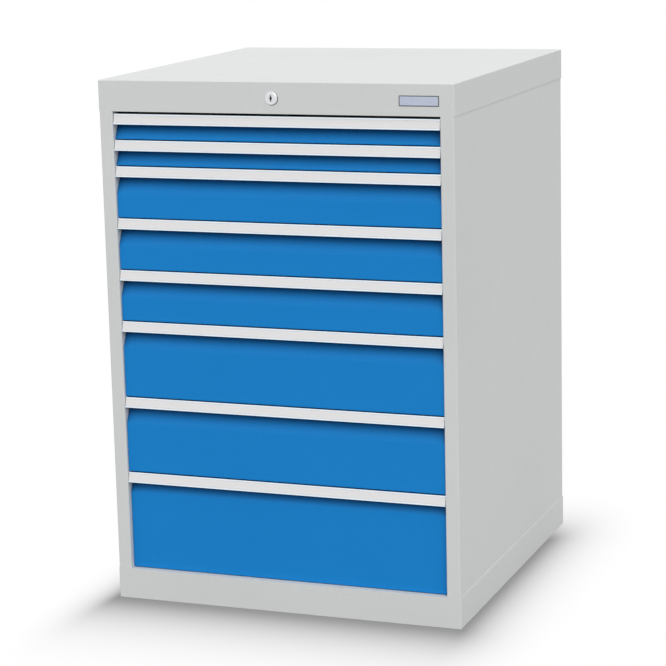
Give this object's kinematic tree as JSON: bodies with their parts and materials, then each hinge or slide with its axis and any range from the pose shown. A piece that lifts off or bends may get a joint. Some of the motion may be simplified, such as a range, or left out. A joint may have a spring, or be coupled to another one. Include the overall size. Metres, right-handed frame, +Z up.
{
  "type": "modular drawer cabinet",
  "caption": "Free-standing steel cabinet with full-width drawers of stepped heights on telescopic runners, grip rails with label channels and a central lock.",
  "frame": {"origin": "centre of the footprint on the floor", "axes": "+Z up, -Y out of the drawer fronts, +X to the right seen from the front"},
  "size_m": [0.705, 0.7385, 1.019],
  "materials": {
    "housing_enamel": "light grey powder coat, satin",
    "front_enamel": "blue powder coat, satin",
    "tray_enamel": "light grey powder coat, satin",
    "grip_aluminium": "natural anodised, satin",
    "zinc_steel": "bright zinc plated",
    "lock_chrome": "satin chrome",
    "lock_nickel": "satin nickel"
  },
  "bodies": {
    "cabinet": {"side_panel_left": "housing_enamel", "side_panel_right": "housing_enamel", "top_cover": "housing_enamel", "base_frame": "housing_enamel", "floor_panel": "housing_enamel", "back_panel": "housing_enamel", "front_post_left": "zinc_steel", "front_post_right": "zinc_steel", "rear_post_left": "zinc_steel", "rear_post_right": "zinc_steel", "cabinet_rails_left": "zinc_steel", "cabinet_rails_right": "zinc_steel", "lock_housing": "lock_chrome", "lock_brackets": "zinc_steel"},
    "drawer_1": {"drawer_1_tray": "tray_enamel", "drawer_1_front": "front_enamel", "drawer_1_grip": "grip_aluminium", "drawer_1_rails": "zinc_steel"},
    "middle_rails_1": {"drawer_1_middle_rails": "zinc_steel"},
    "drawer_2": {"drawer_2_tray": "tray_enamel", "drawer_2_front": "front_enamel", "drawer_2_grip": "grip_aluminium", "drawer_2_rails": "zinc_steel"},
    "middle_rails_2": {"drawer_2_middle_rails": "zinc_steel"},
    "drawer_3": {"drawer_3_tray": "tray_enamel", "drawer_3_front": "front_enamel", "drawer_3_grip": "grip_aluminium", "drawer_3_rails": "zinc_steel"},
    "middle_rails_3": {"drawer_3_middle_rails": "zinc_steel"},
    "drawer_4": {"drawer_4_tray": "tray_enamel", "drawer_4_front": "front_enamel", "drawer_4_grip": "grip_aluminium", "drawer_4_rails": "zinc_steel"},
    "middle_rails_4": {"drawer_4_middle_rails": "zinc_steel"},
    "drawer_5": {"drawer_5_tray": "tray_enamel", "drawer_5_front": "front_enamel", "drawer_5_grip": "grip_aluminium", "drawer_5_rails": "zinc_steel"},
    "middle_rails_5": {"drawer_5_middle_rails": "zinc_steel"},
    "drawer_6": {"drawer_6_tray": "tray_enamel", "drawer_6_front": "front_enamel", "drawer_6_grip": "grip_aluminium", "drawer_6_rails": "zinc_steel"},
    "middle_rails_6": {"drawer_6_middle_rails": "zinc_steel"},
    "drawer_7": {"drawer_7_tray": "tray_enamel", "drawer_7_front": "front_enamel", "drawer_7_grip": "grip_aluminium", "drawer_7_rails": "zinc_steel"},
    "middle_rails_7": {"drawer_7_middle_rails": "zinc_steel"},
    "drawer_8": {"drawer_8_tray": "tray_enamel", "drawer_8_front": "front_enamel", "drawer_8_grip": "grip_aluminium", "drawer_8_rails": "zinc_steel"},
    "middle_rails_8": {"drawer_8_middle_rails": "zinc_steel"},
    "lock_core": {"lock_plug": "lock_nickel", "lock_shaft": "zinc_steel", "lock_crank": "zinc_steel"},
    "lock_rod": {"lock_rod": "zinc_steel", "lock_lever": "zinc_steel", "lock_fingers": "zinc_steel"}
  },
  "joints": [
    {"name": "drawer_1_slide", "type": "slide", "parent": "cabinet", "child": "drawer_1", "axis": [0, -1, 0], "range_m": [0, 0.6]},
    {"name": "middle_rails_1_slide", "type": "slide", "parent": "cabinet", "child": "middle_rails_1", "axis": [0, -1, 0], "range_m": [0, 0.3]},
    {"name": "drawer_2_slide", "type": "slide", "parent": "cabinet", "child": "drawer_2", "axis": [0, -1, 0], "range_m": [0, 0.6]},
    {"name": "middle_rails_2_slide", "type": "slide", "parent": "cabinet", "child": "middle_rails_2", "axis": [0, -1, 0], "range_m": [0, 0.3]},
    {"name": "drawer_3_slide", "type": "slide", "parent": "cabinet", "child": "drawer_3", "axis": [0, -1, 0], "range_m": [0, 0.6]},
    {"name": "middle_rails_3_slide", "type": "slide", "parent": "cabinet", "child": "middle_rails_3", "axis": [0, -1, 0], "range_m": [0, 0.3]},
    {"name": "drawer_4_slide", "type": "slide", "parent": "cabinet", "child": "drawer_4", "axis": [0, -1, 0], "range_m": [0, 0.6]},
    {"name": "middle_rails_4_slide", "type": "slide", "parent": "cabinet", "child": "middle_rails_4", "axis": [0, -1, 0], "range_m": [0, 0.3]},
    {"name": "drawer_5_slide", "type": "slide", "parent": "cabinet", "child": "drawer_5", "axis": [0, -1, 0], "range_m": [0, 0.6]},
    {"name": "middle_rails_5_slide", "type": "slide", "parent": "cabinet", "child": "middle_rails_5", "axis": [0, -1, 0], "range_m": [0, 0.3]},
    {"name": "drawer_6_slide", "type": "slide", "parent": "cabinet", "child": "drawer_6", "axis": [0, -1, 0], "range_m": [0, 0.6]},
    {"name": "middle_rails_6_slide", "type": "slide", "parent": "cabinet", "child": "middle_rails_6", "axis": [0, -1, 0], "range_m": [0, 0.3]},
    {"name": "drawer_7_slide", "type": "slide", "parent": "cabinet", "child": "drawer_7", "axis": [0, -1, 0], "range_m": [0, 0.6]},
    {"name": "middle_rails_7_slide", "type": "slide", "parent": "cabinet", "child": "middle_rails_7", "axis": [0, -1, 0], "range_m": [0, 0.3]},
    {"name": "drawer_8_slide", "type": "slide", "parent": "cabinet", "child": "drawer_8", "axis": [0, -1, 0], "range_m": [0, 0.6]},
    {"name": "middle_rails_8_slide", "type": "slide", "parent": "cabinet", "child": "middle_rails_8", "axis": [0, -1, 0], "range_m": [0, 0.3]},
    {"name": "lock_turn", "type": "hinge", "parent": "cabinet", "child": "lock_core", "pos_m": [0, -0.368, 0.989], "axis": [0, 1, 0], "range_deg": [0, 90]},
    {"name": "lock_rod_turn", "type": "hinge", "parent": "cabinet", "child": "lock_rod", "pos_m": [0, 0.306, 0.059], "axis": [0, 0, 1], "range_deg": [0, 41.42]}
  ],
  "couplings": [
    {"joint": "middle_rails_1_slide", "follows": "drawer_1_slide", "ratio": 0.5},
    {"joint": "middle_rails_2_slide", "follows": "drawer_2_slide", "ratio": 0.5},
    {"joint": "middle_rails_3_slide", "follows": "drawer_3_slide", "ratio": 0.5},
    {"joint": "middle_rails_4_slide", "follows": "drawer_4_slide", "ratio": 0.5},
    {"joint": "middle_rails_5_slide", "follows": "drawer_5_slide", "ratio": 0.5},
    {"joint": "middle_rails_6_slide", "follows": "drawer_6_slide", "ratio": 0.5},
    {"joint": "middle_rails_7_slide", "follows": "drawer_7_slide", "ratio": 0.5},
    {"joint": "middle_rails_8_slide", "follows": "drawer_8_slide", "ratio": 0.5},
    {"joint": "lock_rod_turn", "follows": "lock_turn", "ratio": 0.46011}
  ]
}
